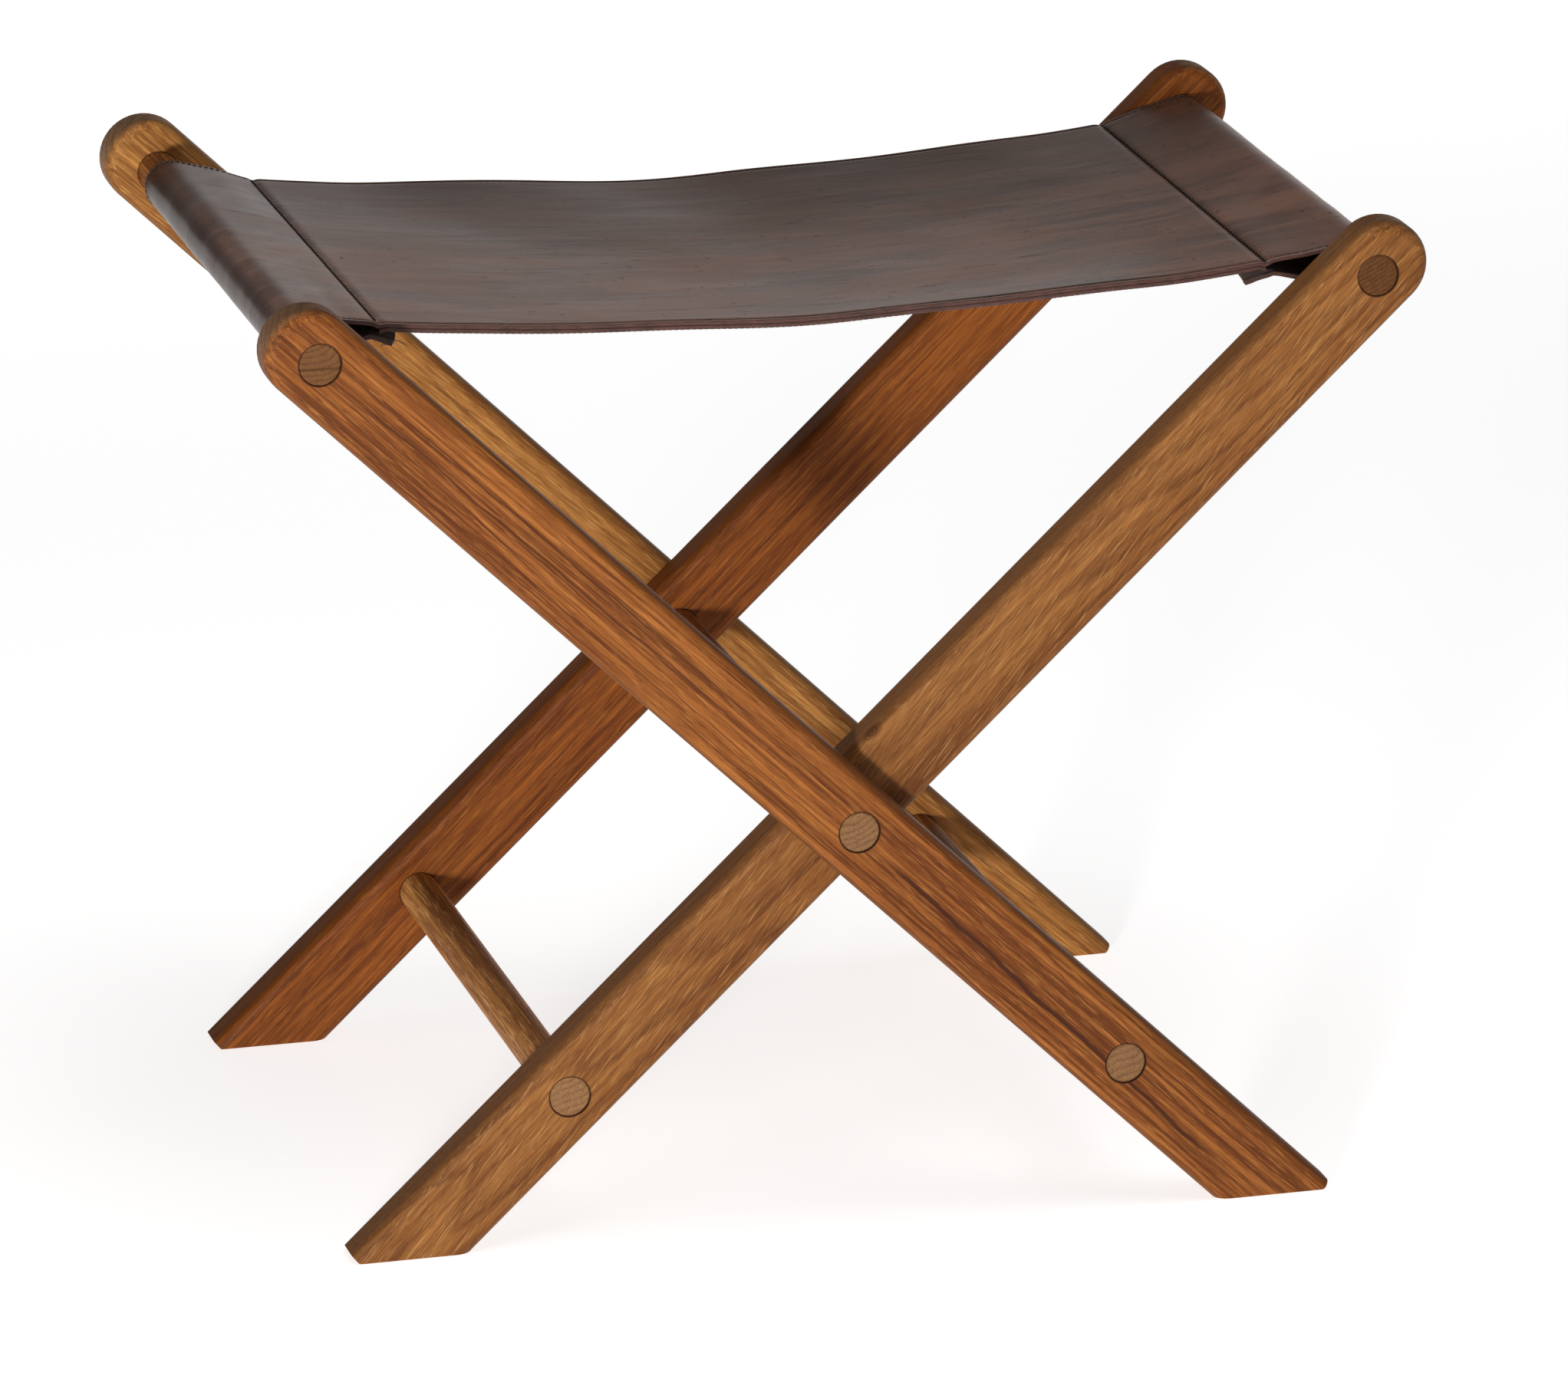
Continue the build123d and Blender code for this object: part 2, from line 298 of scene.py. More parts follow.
        # the dark line round each dowel
        away = g.vec("SUBTRACT", local, (reach, 0, 0))
        away = g.vec("LENGTH", g.vec("MULTIPLY", away, (1, 0, 1)), out=1)
        near = g.fit(away, DOWEL_RADIUS + 0.0002, DOWEL_RADIUS + 0.0008, 0.9, 0.0)
        colour = g.mix(near, colour, rgb(40, 20, 10))
    rough = g.fit(fibre, 0.3, 0.7, 0.48, 0.64)
    relief = g.math("SUBTRACT", g.math("MULTIPLY", fibre, 0.5), g.math("MULTIPLY", pore, 0.8))
    relief = g.math("ADD", relief, g.math("MULTIPLY", line, -0.12))
    normal = g.bump(relief, 0.0002, 0.6)
    return g.shader(Base_Color=colour, Roughness=rough, Specular_IOR_Level=0.12, Normal=normal)


def dress(node, material):
    for slot in nodes[node].material_slots:
        slot.link = "OBJECT"
        slot.material = material


OUTER = (0, math.pi - LEG_ANGLE, 0)
INNER = (0, LEG_ANGLE, 0)
ALONG_Y = (0, 0, -math.pi / 2)
BORES = (RAIL_REACH, 0, -STRETCHER_REACH)
LEG_LOOKS = {
    "outer_leg_near": dict(
        seed=1.0, tilt=(0.012, 0.01), pith=(0.12, 0.22), ring=0.0042, tone=(0.87, 0.80, 0.67), streak=0.8,
        dash=(28, 700, 0.0, 0.4), stripe=0.75,
        veins=(
            (-0.27, -0.012, 0.0077, -0.0247, 0.0017, 0.95),
            (0.08, 0.345, -0.001, 0.008, 0.0008, 0.6),
            (-0.20, 0.30, -0.012, 0.012, 0.0006, 0.5),
            (-0.05, 0.36, 0.009, -0.01, 0.0006, 0.45),
        ),
    ),
    "outer_leg_far": dict(
        seed=2.3, tilt=(0.01, 0.01), pith=(0.2, 0.3), ring=0.006, tone=(1.01, 1.06, 1.02), streak=0.2,
        dash=(40, 900, 0.05, 0.35), stripe=0.18,
    ),
    "inner_leg_near": dict(
        seed=3.7, tilt=(0.03, 0.05), pith=(0.05, 0.02), ring=0.0045, tone=(0.89, 0.91, 0.90), streak=0.22,
        dash=(55, 1300, 0.16, 0.32), stripe=0.20, knots=((0.038, -0.009, 0.0205),),
    ),
    "inner_leg_far": dict(
        seed=5.1, tilt=(0.01, 0.02), pith=(0.1, 0.1), ring=0.005, tone=(0.81, 0.69, 0.44), streak=0.45,
        dash=(40, 900, 0.04, 0.35), stripe=0.22,
    ),
}
for leg, looks in LEG_LOOKS.items():
    low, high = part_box(leg)
    centre = (0, (low.y + high.y) / 2, PIVOT_Z)
    turned = OUTER if leg.startswith("outer") else INNER
    dress(leg, teak("teak_" + leg, turned, centre, bores=BORES, **looks))
DOWEL_LOOKS = {
    "outer_seat_rail": dict(
        seed=6.2, pith=(0.004, 0.02), ring=0.0034, end_tone=-24, veins=((-1, 1, -0.0018, 0.0, 0.0010, 0.55),)
    ),
    "inner_seat_rail": dict(seed=7.4, pith=(0.03, 0.05), ring=0.0022, end_tone=-40),
    "outer_stretcher": dict(seed=8.8, pith=(0.01, 0.03), ring=0.0033, end_tone=2),
    # the inner stretcher's tone is lifted as painted light, making up for the dim light on its left-facing side
    "inner_stretcher": dict(seed=9.5, pith=(0.02, 0.05), ring=0.0030, tone=(1.24, 1.34, 1.42), end_tone=5),
    "pivot_dowel": dict(seed=10.9, pith=(0.03, 0.06), ring=0.0036, end_tone=4),
}
for dowel, looks in DOWEL_LOOKS.items():
    low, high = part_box(dowel)
    dress(dowel, teak("teak_" + dowel, ALONG_Y, tuple((low + high) / 2), **looks))


# ------------------------------------------------------------------ leather and thread
def leather(name):
    """Dark brown waxed leather: fine grain, long soft streaks, small marks and stitch holes.
    It is laid out by "flat", the point of the leather before it was folded: along, across and layer."""
    g = Graph(name)
    place = g.add("Attribute", {"attribute_name": "flat"}).outputs["Vector"]
    grain = g.add("TexVoronoi", {"feature": "SMOOTH_F1"}, Vector=place, Scale=1100.0, Smoothness=0.6)
    grain = grain.outputs["Distance"]
    fine = g.noise(place, scale=1800, detail=3, rough=0.6)
    cloud = g.noise(g.mapping(place, scale=(9, 20, 20)), detail=4, rough=0.6)
    long = g.mapping(place, rotation=(0, 0, 0.12), scale=(12, 62, 60))
    long = g.noise(long, detail=5, rough=0.62, distortion=0.5)
    crease = g.mapping(place, rotation=(0, 0, -0.1), scale=(34, 330, 300))
    crease = g.fit(g.noise(crease, detail=3, rough=0.6, distortion=0.8), 0.60, 0.72)
    scuff = g.mapping(place, rotation=(0, 0, 0.2), scale=(130, 900, 400))
    scuff = g.fit(g.noise(scuff, detail=2, rough=0.7), 0.70, 0.78)
    pit = g.fit(g.noise(g.mapping(place, scale=(210, 330, 200)), detail=1), 0.71, 0.73)
    colour = g.mix(g.fit(cloud, 0.3, 0.7), rgb(90, 62, 49), rgb(134, 95, 77))
    colour = g.mix(g.fit(long, 0.42, 0.66, 0.0, 0.65), colour, rgb(146, 102, 81))
    colour = g.mix(g.math("MULTIPLY", crease, 0.2), colour, rgb(48, 32, 26))
    colour = g.mix(g.math("MULTIPLY", scuff, 0.5), colour, rgb(36, 23, 19))
    colour = g.mix(g.math("MULTIPLY", pit, 0.8), colour, rgb(18, 11, 9))
    # painted shade: darker towards the far edge and where it turns over a rail
    split = g.add("SeparateXYZ", (), Vector=place).outputs
    colour = g.mix(g.fit(split[1], -0.05, 0.12, 0.0, 0.65), colour, rgb(66, 43, 32))
    turned = g.add("SeparateXYZ", (), Vector=g.coords("Normal")).outputs
    curve = g.fit(g.math("ABSOLUTE", turned[0]), 0.35, 0.8)
    colour = g.mix(g.math("MULTIPLY", curve, 0.85), colour, rgb(46, 30, 24))
    # the sewn line beside each long edge and its holes, darkened with painted shade, and a painted highlight
    # along the edge itself
    across = g.math("ABSOLUTE", split[1])
    hem = g.math("ABSOLUTE", g.math("SUBTRACT", across, HALF_WIDTH - HEM_IN))
    hem = g.fit(hem, 0.0002, 0.0008, 1.0, 0.0)
    beat = g.math("FRACT", g.math("DIVIDE", split[0], HEM_PITCH))
    beat = g.math("ABSOLUTE", g.math("SUBTRACT", beat, 0.5))
    hole = g.math("MULTIPLY", hem, g.fit(beat, 0.30, 0.45))
    # painted shade in the sewn groove and in its holes
    colour = g.mix(g.math("MULTIPLY", hem, 0.60), colour, rgb(40, 26, 22))
    colour = g.mix(g.math("MULTIPLY", hole, 0.8), colour, rgb(14, 9, 8))
    # painted highlight along the long edges, stronger on the near side
    edge_highlight = g.fit(across, HALF_WIDTH - 0.0022, HALF_WIDTH - 0.0004, 0.0, 0.9)
    edge_highlight = g.math("MULTIPLY", edge_highlight, g.fit(split[1], -0.05, 0.05, 1.0, 0.25))
    colour = g.mix(edge_highlight, colour, rgb(158, 130, 118))
    rough = g.math("ADD", g.fit(cloud, 0.3, 0.7, 0.24, 0.32), g.math("MULTIPLY", crease, 0.1))
    height = g.math("ADD", g.math("MULTIPLY", grain, 0.6), g.math("MULTIPLY", fine, 0.4))
    height = g.math("SUBTRACT", height, g.math("MULTIPLY", g.math("ADD", scuff, pit), 0.5))
    normal = g.bump(height, 0.0001, 0.3)
    waves = g.math("SUBTRACT", long, g.math("MULTIPLY", crease, 0.15))
    normal = g.bump(g.math("MULTIPLY", waves, g.math("SUBTRACT", 1.0, curve)), 0.0006, 0.3, normal)
    return g.shader(Base_Color=colour, Roughness=rough, Specular_IOR_Level=0.07, Normal=normal)


def cut_edge(name):
    """The burnished cut edge of the leather, with its fibres."""
    g = Graph(name)
    place = g.add("Attribute", {"attribute_name": "flat"}).outputs["Vector"]
    fibre = g.noise(g.mapping(place, scale=(160, 160, 2600)), detail=3, rough=0.7)
    blotch = g.noise(place, scale=120, detail=3)
    colour = g.mix(g.fit(fibre, 0.3, 0.7), rgb(58, 34, 28), rgb(88, 56, 46))
    colour = g.mix(g.fit(blotch, 0.5, 0.75, 0.0, 0.6), colour, rgb(44, 25, 21))
    rough = g.fit(blotch, 0.3, 0.7, 0.45, 0.65)
    normal = g.bump(fibre, 0.0002, 0.6)
    return g.shader(Base_Color=colour, Roughness=rough, Specular_IOR_Level=0.35, Normal=normal)


def suede(name):
    """The flesh side of the leather."""
    g = Graph(name)
    place = g.add("Attribute", {"attribute_name": "flat"}).outputs["Vector"]
    nap = g.noise(place, scale=900, detail=4, rough=0.7)
    cloud = g.noise(g.mapping(place, scale=(20, 40, 40)), detail=4, rough=0.6)
    colour = g.mix(g.fit(nap, 0.3, 0.7), rgb(64, 44, 36), rgb(92, 66, 54))
    colour = g.mix(g.fit(cloud, 0.4, 0.7, 0.0, 0.6), colour, rgb(50, 33, 27))
    normal = g.bump(nap, 0.0003, 0.7)
    rough = g.fit(cloud, 0.3, 0.7, 0.78, 0.9)
    g.shader(Sheen_Weight=0.2, Sheen_Roughness=0.5)
    return g.shader(Base_Color=colour, Roughness=rough, Specular_IOR_Level=0.2, Normal=normal)


def thread(name):
    """Waxed, twisted sewing thread."""
    g = Graph(name)
    place = g.coords()
    twist = g.noise(g.mapping(place, rotation=(0.3, 0.2, 0.7), scale=(4200, 900, 2600)), detail=2)
    colour = g.mix(g.fit(twist, 0.35, 0.65), rgb(22, 14, 11), rgb(54, 39, 33))
    rough = g.fit(twist, 0.3, 0.7, 0.35, 0.55)
    normal = g.bump(twist, 0.0001, 0.8)
    return g.shader(Base_Color=colour, Roughness=rough, Specular_IOR_Level=0.5, Normal=normal)


LEATHER = leather("leather_top")
EDGE = cut_edge("leather_edge")
SUEDE = suede("leather_flesh")
THREAD = thread("thread")


# ------------------------------------------------------------------ the seat's profile
def tangent(px, pz, upper):
    """Where the line from (px, pz) touches the sleeve's middle circle: its angle and the point."""
    dx, dz = RAIL_X - px, RAIL_Z - pz
    turn = math.acos(SLEEVE_R / math.hypot(dx, dz))
    toward = math.atan2(-dz, -dx)
    angle = toward - turn if upper else toward + turn
    return angle, (RAIL_X + SLEEVE_R * math.cos(angle), RAIL_Z + SLEEVE_R * math.sin(angle))


def between(a, b, shares):
    return [(a[0] * (1 - k) + b[0] * k, a[1] * (1 - k) + b[1] * k) for k in shares]


def wrap_points():
    """The sleeve's middle line where x > 0: the return flap, round the rail, up to the seam."""
    seam = (SEAM_X, SEAM_Z - PLY / 2)
    under = (SEAM_X, SEAM_Z - PLY - LINING - PLY / 2 - SEWN_GAP)
    low_angle, low = tangent(*under, False)
    top_angle, top = tangent(*seam, True)
    points = [(SEAM_X - FLAP_PAST_SEAM, under[1] - 0.0011), (SEAM_X - 0.005, under[1] - 0.0005)]
    points += between(under, low, (0, 0.3, 0.6, 0.9))
    for k in np.linspace(0, 1, 26):
        angle = low_angle + (top_angle - low_angle) * k
        points.append((RAIL_X + SLEEVE_R * math.cos(angle), RAIL_Z + SLEEVE_R * math.sin(angle)))
    return points + between(top, seam, (0.1, 0.4, 0.7, 1.0))


# half of the panel's top line, in X and Z
PROFILE = [
    (0.0, 0.4450), (0.045, 0.4464), (0.09, 0.4482), (0.13, 0.4502), (0.17, 0.4526), (0.20, 0.4552),
    (SEAM_X, SEAM_Z),
]


def panel_points(side, drop):
    return [(side * x, z - drop) for x, z in PROFILE]


def resample(points, step):
    """Evenly spaced points along a polyline with its corners eased."""
    pts = np.array(points, float)
    for _ in range(2):
        cut = [pts[0]]
        for a, b in zip(pts[:-1], pts[1:]):
            cut += [a * 0.75 + b * 0.25, a * 0.25 + b * 0.75]
        pts = np.array(cut + [pts[-1]])
    s = np.concatenate([[0], np.cumsum(np.hypot(*np.diff(pts, axis=0).T))])
    at = np.linspace(0, s[-1], max(2, int(round(s[-1] / step)) + 1))
    return np.stack([np.interp(at, s, pts[:, 0]), np.interp(at, s, pts[:, 1])], 1)


def bell(x, width):
    return math.exp(-((x / width) ** 2))


def step_up(x, low, high):
    t = min(1.0, max(0.0, (x - low) / (high - low)))
    return t * t * (3 - 2 * t)


def rough_field(x, y, seed):
    return noise.noise(Vector((x + seed * 17.3, y - seed * 5.1, seed * 9.7)))


SAG = 0.0035
TILT = 0.0019


def panel_rise(x, y):
    """How far the panel departs from its profile: seam valleys, hem grooves, its sag and the leather's
    own waves."""
    away = abs(x) - SEAM_X
    rise = -(0.0008 + 0.0002 * math.cos(2 * math.pi * y / CROSS_PITCH)) * bell(away, 0.0021)
    rise -= 0.0005 * bell(abs(y) - (HALF_WIDTH - HEM_IN), 0.0008)
    inside = step_up(-away, 0.004, 0.06)
    span, depth = max(0.0, 1 - (x / SEAM_X) ** 2), y / HALF_WIDTH
    rise += span * SAG * (depth**2 - 1) - TILT * depth
    waves = 0.0010 * rough_field(x * 9, y * 7, 1) + 0.0003 * rough_field(x * 26, y * 20, 2)
    rise += inside * (1 - 0.8 * depth**2) * waves
    rise -= 0.0016 * max(0.0, depth) ** 2 * bell(x + 0.02, 0.05)
    far, near = max(0.0, depth) ** 3, max(0.0, -depth) ** 3
    rise += inside * far * 0.0005 * math.sin(x * 47 + 0.6)
    rise += inside * near * (0.0016 * bell(x - 0.08, 0.08) + 0.0003 * math.sin(x * 60))
    return rise


def seam_shift(x, y):
    """The seams aren't quite square to the seat: how far leather near them lies towards the middle."""
    depth = y / HALF_WIDTH
    amount = -0.0045 + 0.0029 * depth if x > 0 else -0.0004 + 0.0011 * depth
    return amount * step_up(abs(x), 0.11, 0.214) * (1 - step_up(abs(x), 0.222, 0.250))


def sleeve_rise(x, y, top):
    """Folds where the leather breaks over the rail."""
    away = abs(x) - SEAM_X
    amount = step_up(away, 0.003, 0.02) * (1.0 if top else 0.6)
    fold = rough_field(x * 38 - y * 26, y * 9, 3) + 0.5 * rough_field(x * 90 - y * 66, y * 16, 4)
    crease = bell(away - 0.0255 - 0.004 * y / HALF_WIDTH, 0.004) * (0.6 + 0.4 * rough_field(0, y * 14, 7))
    near_end = step_up(-y, 0.06, HALF_WIDTH)
    return amount * (0.0003 * fold + 0.0006 * crease * near_end)


LINE_STEP = 0.0012
FLAP_SOFT = 0.017
CORNER_FROM = 0.112
# how far each corner of a return flap curls down: (left or right, near or far)
FLAP_CURL = {
    ("left", "near"): 0.0036, ("left", "far"): 0.0026, ("right", "near"): 0.0034, ("right", "far"): 0.0022
}
LEFT_CORNER_CUT = 0.0045


class Sheet:
    """Leather lying along a line in X and Z. flap says which end of the line is a return flap, if any."""

    def __init__(self, points, flap=None):
        self.line = resample(points, LINE_STEP)
        self.s = np.concatenate([[0], np.cumsum(np.hypot(*np.diff(self.line, axis=0).T))])
        self.length = float(self.s[-1])
        self.flap = {None: None, "start": 0.0, "end": self.length}[flap]

    def base(self, s):
        """The line's point at a length, and its direction there."""
        here, before, after = (
            np.array([np.interp(at, self.s, self.line[:, k]) for k in (0, 1)])
            for at in (s, s - LINE_STEP, s + LINE_STEP)
        )
        d = after - before
        return here, d / (np.hypot(*d) + 1e-12)

    def point(self, s, y):
        """A point of the leather's middle layer, and the normal there in X and Z."""
        here, d = self.base(s)
        normal = np.array([-d[1], d[0]])
        x, z = here
        out = (0.0003 * rough_field(x * 14, 5 if y > 0 else 0, 5)) * bell(abs(y) - HALF_WIDTH, 0.004)
        from_flap = 1.0 if self.flap is None else abs(s - self.flap)
        under = from_flap < UNDER_LENGTH
        on_arc = UNDER_LENGTH <= from_flap < UNDER_LENGTH + ARC_LENGTH
        share = 1 - step_up(abs(x), SEAM_X + 0.002, SEAM_X + 0.022)
        rise = 0.0 if on_arc else panel_rise(x, y) * share
        upper = from_flap > UNDER_LENGTH + ARC_LENGTH / 2
        on_sleeve = self.flap is not None and abs(x) > SEAM_X and not under
        bulge = sleeve_rise(x, y, upper) if on_sleeve else 0.0
        shift = seam_shift(x, y)
        place = np.array([x + normal[0] * bulge + shift, y + out, z + normal[1] * bulge + rise])
        if under:
            loose = 1 - step_up(from_flap, 0.0, FLAP_SOFT)
            corner = max(0.0, (abs(y) - CORNER_FROM) / (HALF_WIDTH - CORNER_FROM))
            amount = FLAP_CURL["left" if x < 0 else "right", "near" if y < 0 else "far"]
            place[2] -= loose * (amount * corner**2 + 0.0006 * (1 + rough_field(0, y * 30, 6)))
            if x < 0:
                place[0] -= loose * LEFT_CORNER_CUT * corner**4
        return place, normal


def rim(distance, radius):
    """How much of half the thickness is left near a rounded edge."""
    if distance >= radius:
        return 0.0
    return radius - math.sqrt(max(0.0, radius**2 - (radius - distance) ** 2))


EDGE_RADIUS = 0.0006


def make_sheet(name, sheet, thickness, marks, materials, flat_start=0.0):
    """A closed solid along the sheet, with rounded edges. Rows are closer near the lengths in marks.
    materials are for the top, the underside and the edge."""
    edge = [0.0, 0.00012, 0.0003, EDGE_RADIUS]
    rows = list(edge)
    while rows[-1] < sheet.length - EDGE_RADIUS - 1e-6:
        gap = min(abs(rows[-1] - m) for m in marks)
        step = 0.0006 if gap < 0.003 else 0.0013 if gap < 0.008 else 0.0028
        rows.append(min(rows[-1] + step, sheet.length - EDGE_RADIUS))
    if rows[-1] - rows[-2] < 0.0003:
        rows.pop(-2)
    rows += [sheet.length - e for e in reversed(edge[:-1])]
    rim_columns = edge + [0.0012, 0.0018, 0.0022, 0.0026, 0.0030, 0.0036, 0.0045, 0.0060, 0.0080]
    inner = HALF_WIDTH - 0.0105
    middle = list(np.linspace(-inner, inner, int(round(2 * inner / 0.0011))))
    if name == "seat_lining":
        middle = middle[::3]
    near_rim = [-HALF_WIDTH + e for e in rim_columns]
    far_rim = [HALF_WIDTH - e for e in reversed(rim_columns)]
    columns = near_rim + middle + far_rim
    upper, lower, flat = [], [], []
    for s in rows:
        for y in columns:
            p, n = sheet.point(s, y)
            n3 = np.array([n[0], 0, n[1]])
            from_side, from_end = HALF_WIDTH - abs(y), min(s, sheet.length - s)
            half = thickness / 2 - max(rim(from_side, EDGE_RADIUS), rim(from_end, EDGE_RADIUS))
            upper.append(p + n3 * half)
            lower.append(p - n3 * half)
            flat.append((s + flat_start, y, half))
    flat += [(a, b, -c) for a, b, c in flat]
    # faces: the top and underside, then the two long edges, then the two ends
    top_kind, under_kind, edge_kind = range(3)
    count, wide = len(upper), len(columns)
    faces, kinds = [], []
    for i in range(len(rows) - 1):
        for j in range(wide - 1):
            a, d = i * wide + j, (i + 1) * wide + j
            b, c = a + 1, d + 1
            at_rim = j < 2 or j > wide - 4 or i < 2 or i > len(rows) - 4
            faces += [(a, d, c, b), (a + count, b + count, c + count, d + count)]
            kinds += [edge_kind if at_rim else top_kind, edge_kind if at_rim else under_kind]
    for i in range(len(rows) - 1):
        for j, flip in ((0, False), (wide - 1, True)):
            a, d = i * wide + j, (i + 1) * wide + j
            face = (a, a + count, d + count, d)
            faces.append(face[::-1] if flip else face)
            kinds.append(edge_kind)
    for i, flip in ((0, True), (len(rows) - 1, False)):
        for j in range(wide - 1):
            a, b = i * wide + j, i * wide + j + 1
            face = (a, a + count, b + count, b)
            faces.append(face[::-1] if flip else face)
            kinds.append(edge_kind)
    obj = mesh_object(name, upper + lower, faces, materials, kinds)
    attribute = obj.data.attributes.new("flat", "FLOAT_VECTOR", "POINT")
    attribute.data.foreach_set("vector", np.array(flat, np.float32).ravel())
    return obj


def mesh_object(name, verts, faces, materials, kinds=None):
    mesh = bpy.data.meshes.new(name)
    mesh.from_pydata([tuple(p) for p in verts], [], faces)
    for material in materials:
        mesh.materials.append(material)
    if kinds is not None:
        mesh.polygons.foreach_set("material_index", kinds)
    mesh.polygons.foreach_set("use_smooth", [True] * len(mesh.polygons))
    mesh.update()
    bm = bmesh.new()
    bm.from_mesh(mesh)
    bmesh.ops.recalc_face_normals(bm, faces=bm.faces)
    bm.to_mesh(mesh)
    bm.free()
    obj = bpy.data.objects.new(name, mesh)
    bpy.context.scene.collection.objects.link(obj)
    return obj


wrap = wrap_points()
UNDER_LENGTH = FLAP_PAST_SEAM + math.hypot(wrap[5][0] - wrap[2][0], wrap[5][1] - wrap[2][1]) + 0.002
ARC_LENGTH = SLEEVE_R * math.radians(206)
left_wrap = [(-x, z) for x, z in wrap]
main = Sheet(left_wrap + panel_points(-1, PLY / 2)[-2::-1] + panel_points(1, PLY / 2)[1:], "start")
sleeve = Sheet(wrap[::-1], "end")
lining = Sheet(panel_points(-1, PLY + LINING / 2)[::-1] + panel_points(1, PLY + LINING / 2)[1:])


def length_at(sheet, x):
    """The length along the sheet's top run at which it passes x."""
    off = sheet.line[:, 0] - x
    hits = [k for k in range(len(sheet.s) - 1) if off[k] * off[k + 1] <= 0]
    return float(sheet.s[max(hits, key=lambda k: sheet.line[k, 1])])


main_seam = length_at(main, -SEAM_X)
seat = make_sheet("seat_leather", main, PLY, [main_seam, main.length], (LEATHER, SUEDE, EDGE))
under_seat = make_sheet("seat_lining", lining, LINING, [0.0, lining.length], (SUEDE, LEATHER, EDGE), main_seam)
inner_sleeve = make_sheet("inner_sleeve", sleeve, PLY, [0.0], (LEATHER, SUEDE, EDGE), main.length)


# ------------------------------------------------------------------ stitches
def stitch_row(name, places, length, radius, lift):
    """One object made of separate stitches. Each place is (point, direction, normal)."""
    rings, around = 7, 8
    verts, faces = [], []
    for point, direction, normal in places:
        u = np.array(direction) / np.linalg.norm(direction)
        w = np.array(normal) - np.dot(normal, u) * u
        w /= np.linalg.norm(w)
        v = np.cross(w, u)
        start = len(verts)
        for i in range(rings):
            t = -1 + 2 * i / (rings - 1)
            fat = radius * math.sqrt(max(0.02, 1 - 0.9 * t**4))
            centre = np.array(point) + u * t * length / 2 + w * (lift * (1 - 1.9 * t**4))
            for k in range(around):
                angle = 2 * math.pi * (k + 0.4 * t) / around
                verts.append(centre + fat * (v * math.cos(angle) + w * math.sin(angle) * 0.85))
        for i in range(rings - 1):
            for k in range(around):
                a, b = start + i * around + k, start + i * around + (k + 1) % around
                faces.append((a, b, b + around, a + around))
        faces.append(tuple(start + k for k in range(around))[::-1])
        faces.append(tuple(start + (rings - 1) * around + k for k in range(around)))
    return mesh_object(name, verts, faces, (THREAD,))


def hem_places(sheet, side, first, last, thickness, flat_start=0.0, below=False):
    """Stitches along the sheet's long edge on one side, between two lengths."""
    y = side * (HALF_WIDTH - HEM_IN)
    places = []
    k = math.ceil((first + flat_start) / HEM_PITCH)
    while (k + 0.5) * HEM_PITCH - flat_start < last:
        s = (k + 0.5) * HEM_PITCH - flat_start
        p, n = sheet.point(s, y)
        q, _ = sheet.point(s + 0.001, y)
        n3 = np.array([n[0], 0, n[1]]) * (-1 if below else 1)
        slant = np.array([0, 0.10 * math.sin(k * 12.9898), 0])
        places.append((p + n3 * (thickness / 2), (q - p) / np.linalg.norm(q - p) + slant, n3))
        k += 1
    return places


def cross_places(sheet, s, length_out, side):
    """Close, slanting stitches across the leather at one length, moved by length_out in X and slanted to
    a side."""
    places = []
    count = int(2 * (HALF_WIDTH - 0.0025) / CROSS_PITCH)
    for k in range(count + 1):
        y = (k - count / 2) * CROSS_PITCH
        p, n = sheet.point(s, y)
        q, _ = sheet.point(s, y + 0.001)
        n3 = np.array([n[0], 0, n[1]])
        slant = np.array([side * 0.5, 0, 0])
        centre = p + n3 * (PLY / 2) + np.array([length_out, 0, 0])
        places.append((centre, (q - p) / np.linalg.norm(q - p) + slant, n3))
    return places


def tail(name, points, radius, body):
    """A loose end of thread."""
    curve = bpy.data.curves.new(name, "CURVE")
    curve.dimensions = "3D"
    curve.bevel_depth = radius
    curve.bevel_resolution = 2
    curve.use_fill_caps = True
    spline = curve.splines.new("NURBS")
    spline.points.add(len(points) - 1)
    for spot, point in zip(spline.points, points):
        spot.co = (*point, 1)
    spline.order_u = 3
    spline.use_endpoint_u = True
    made = bpy.data.objects.new(name, curve)
    bpy.context.scene.collection.objects.link(made)
    dg = bpy.context.evaluated_depsgraph_get()
    mesh = bpy.data.meshes.new_from_object(made.evaluated_get(dg))
    bpy.data.objects.remove(made)
    mesh.materials.clear()
    mesh.materials.append(THREAD)
    mesh.polygons.foreach_set("use_smooth", [True] * len(mesh.polygons))
    made = bpy.data.objects.new(name, mesh)
    bpy.context.scene.collection.objects.link(made)
    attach(made, body)
    return made


HEM = dict(length=0.0023, radius=0.00038, lift=0.00008)
UNDER_HEM = dict(length=0.0023, radius=0.00030, lift=-0.00008)
CROSS = dict(length=0.0030, radius=0.00062, lift=0.00016)
flap_start = UNDER_LENGTH + 0.004
pieces = {}
for word, side in (("near", -1), ("far", 1)):
    top = hem_places(main, side, flap_start, main.length - 0.001, PLY)
    pieces["edge_stitches_" + word] = (
        stitch_row("edge_stitches_" + word, top, **HEM),
        (f"edge_stitches_{word}_outer_half", f"edge_stitches_{word}_inner_half"),
    )
    low = hem_places(lining, side, 0.002, lining.length - 0.002, LINING, main_seam, below=True)
    pieces["lining_stitches_" + word] = (stitch_row("lining_stitches_" + word, low, **UNDER_HEM), ())
    row = hem_places(sleeve, side, 0.001, sleeve.length - flap_start, PLY, main.length)
    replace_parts(stitch_row("sleeve_stitches_" + word, row, **HEM), "inner_sleeve_stitches_" + word)
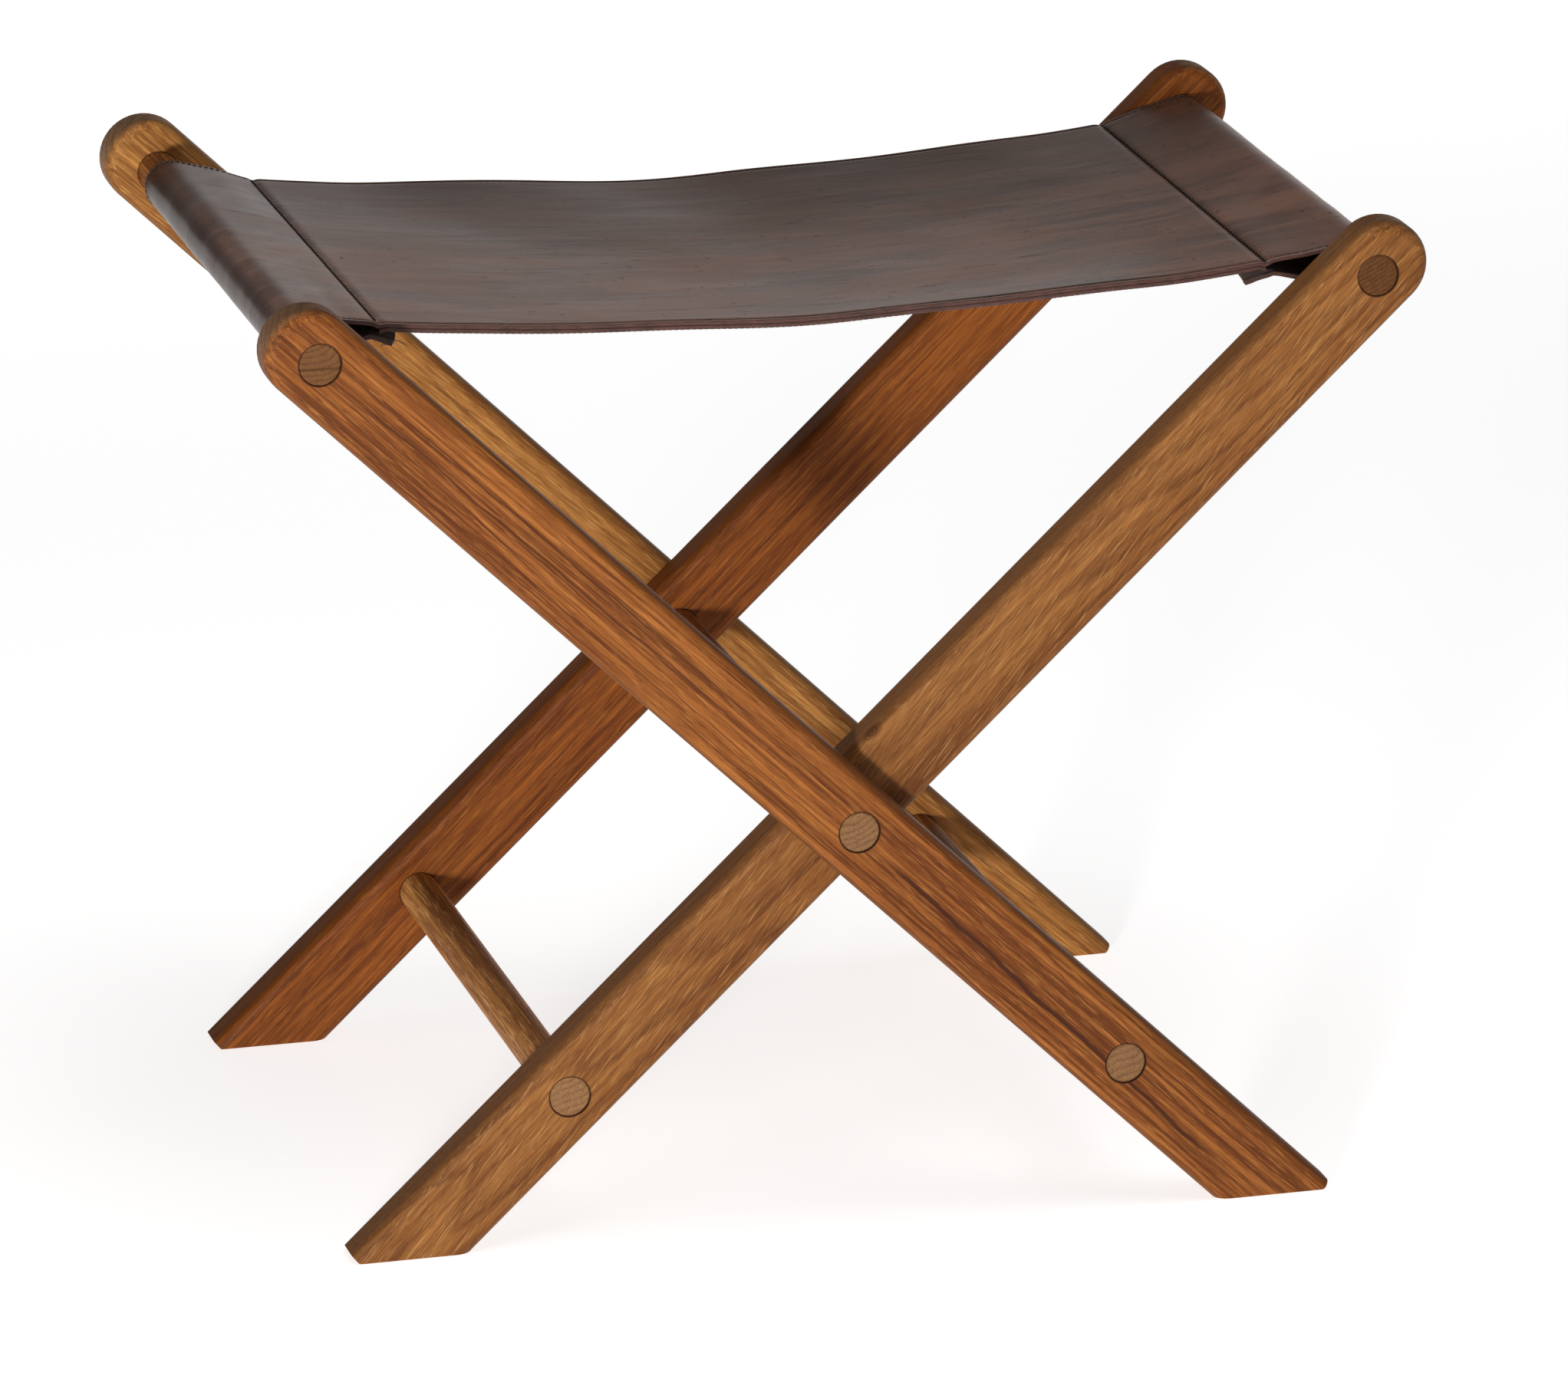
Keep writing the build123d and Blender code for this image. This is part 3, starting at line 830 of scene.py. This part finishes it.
outer_seam = stitch_row("cross_seam_outer", cross_places(main, main_seam, -0.0003, -1), **CROSS)
inner_seam = stitch_row("cross_seam_inner", cross_places(sleeve, 0.0004, 0.0002, 1), **CROSS)
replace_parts(outer_seam, "outer_cross_seam")
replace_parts(inner_seam, "inner_cross_seam")

# ------------------------------------------------------------------ what each piece rides on
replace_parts(seat, "seat_leather_outer_half", "seat_leather_inner_half")
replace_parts(under_seat, "seat_lining_outer_half", "seat_lining_inner_half")
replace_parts(inner_sleeve, "inner_sleeve_leather")
for piece in (seat, under_seat):
    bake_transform(piece)
for piece, stood_for in pieces.values():
    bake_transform(piece)
    if stood_for:
        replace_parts(piece, *stood_for)
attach(inner_sleeve, "seat_inner_sleeve")
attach(outer_seam, "seat_outer_half")
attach(inner_seam, "seat_inner_sleeve")
for word in ("near", "far"):
    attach(bpy.data.objects["sleeve_stitches_" + word], "seat_inner_sleeve")

# the loose ends, in millimetres from the flap's near corner
TAILS = (
    ("thread_tail_1", 0.00022, ((0, 0, 0), (1.5, 0.4, -0.4), (4, 0.8, -1.6), (7, 1.0, -3.6))),
    ("thread_tail_2", 0.00020, ((-3, 0, -0.8), (-3.4, -0.3, -1.8), (-4.4, -0.4, -2.2))),
    ("thread_tail_3", 0.00020, ((-4.5, 0, -0.8), (-4.6, -0.3, -1.7), (-5.8, -0.5, -2.5))),
)
near_corner = main.point(0.001, -HALF_WIDTH + 0.004)[0]
tails = [
    tail(name, [near_corner + np.array(step) * 0.001 for step in steps], radius, "seat_outer_half")
    for name, radius, steps in TAILS
]

# ------------------------------------------------------------------ floor and light
BACKDROP = 0.92
CEILING = 0.14
FRONT_SHARE = 0.5
LEFT_SHARE = 0.12
FLOOR_GLOW = 0.72


def floor():
    """A pale floor that glows a little, and fully behind the stool, so it reads as plain white."""
    mesh = bpy.data.meshes.new("floor")
    mesh.from_pydata([(-12, -8, 0), (12, -8, 0), (12, 16, 0), (-12, 16, 0)], [], [(0, 1, 2, 3)])
    g = Graph("floor")
    cloud = g.noise(g.coords(), scale=0.6, detail=2)
    pale = g.mix(cloud, (0.86, 0.86, 0.86, 1), (0.9, 0.9, 0.9, 1))
    g.shader(Base_Color=pale, Roughness=0.9, Specular_IOR_Level=0.0)
    depth = g.add("SeparateXYZ", (), Vector=g.coords()).outputs[1]
    g.shader(Emission_Color=(1, 1, 1, 1), Emission_Strength=g.fit(depth, 0.8, 3.0, FLOOR_GLOW, 1.0))
    mesh.materials.append(g.mat)
    obj = bpy.data.objects.new("floor", mesh)
    bpy.context.scene.collection.objects.link(obj)


def area_light(name, toward, distance, size, power, aim=(0, 0, 0.25)):
    """A square lamp at a distance in the direction toward, facing the point aim."""
    data = bpy.data.lights.new(name, "AREA")
    data.size = size
    data.energy = power
    obj = bpy.data.objects.new(name, data)
    bpy.context.scene.collection.objects.link(obj)
    direction = Vector(toward).normalized()
    obj.location = Vector(aim) + direction * distance
    obj.rotation_mode = "QUATERNION"
    obj.rotation_quaternion = direction.to_track_quat("Z", "Y")


def world():
    """A bright backdrop near the horizon behind the stool, dimmer in front and to the left, under a dark
    ceiling. The camera sees plain white."""
    made = bpy.data.worlds.new("studio")
    made.use_nodes = True
    tree = made.node_tree
    back = tree.nodes["Background"]
    split = tree.nodes.new("ShaderNodeSeparateXYZ")
    tree.links.new(tree.nodes.new("ShaderNodeTexCoord").outputs["Generated"], split.inputs[0])
    strength = tree.nodes.new("ShaderNodeValue").outputs[0]
    strength.default_value = 1.0
    x_axis, y_axis, z_axis = range(3)
    for axis, values in (
        (z_axis, (0.12, 0.42, BACKDROP, CEILING)),
        (y_axis, (-0.3, 0.5, FRONT_SHARE, 1.0)),
        (x_axis, (-0.42, 0.0, LEFT_SHARE, 1.0)),
    ):
        ramp = tree.nodes.new("ShaderNodeMapRange")
        ramp.interpolation_type = "SMOOTHSTEP"
        for k, value in enumerate(values):
            ramp.inputs[k + 1].default_value = value
        tree.links.new(split.outputs[axis], ramp.inputs[0])
        times = tree.nodes.new("ShaderNodeMath")
        times.operation = "MULTIPLY"
        tree.links.new(strength, times.inputs[0])
        tree.links.new(ramp.outputs[0], times.inputs[1])
        strength = times.outputs[0]
    seen = tree.nodes.new("ShaderNodeMath")
    seen.operation = "MAXIMUM"
    tree.links.new(strength, seen.inputs[0])
    tree.links.new(tree.nodes.new("ShaderNodeLightPath").outputs["Is Camera Ray"], seen.inputs[1])
    tree.links.new(seen.outputs[0], back.inputs["Strength"])
    back.inputs["Color"].default_value = (1, 1, 1, 1)
    bpy.context.scene.world = made


floor()
world()
area_light("key", (-0.47, -0.86, 0.03), 3.2, 0.30, 84)
area_light("overhead", (0.1, -0.2, 1.0), 2.6, 1.6, 20)
bpy.context.scene.view_settings.view_transform = "Standard"
